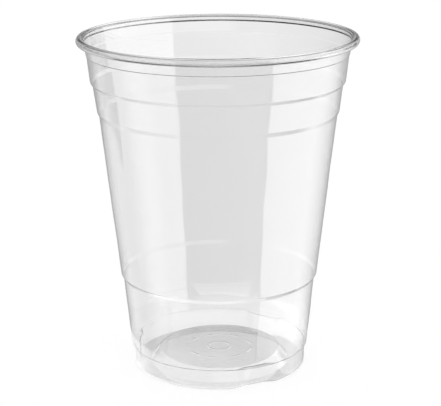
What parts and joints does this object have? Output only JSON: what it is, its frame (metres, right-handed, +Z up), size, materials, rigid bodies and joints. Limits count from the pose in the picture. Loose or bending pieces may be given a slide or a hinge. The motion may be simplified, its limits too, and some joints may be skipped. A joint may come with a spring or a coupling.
{
  "type": "plastic disposable cup",
  "caption": "Clear tapered disposable drinking cup with a rolled rim, stepped grip bands, a stacking foot with pressed pockets and a raised base panel.",
  "frame": {"origin": "on the table under the middle of the foot", "axes": "+Z up along the cup's axis towards the mouth, -Y towards the side that the picture shows"},
  "size_m": [0.0979, 0.0978, 0.119],
  "materials": {
    "clear_plastic": "clear glossy thin plastic sheet"
  },
  "bodies": {
    "root": {"cup": "clear_plastic"}
  },
  "joints": []
}
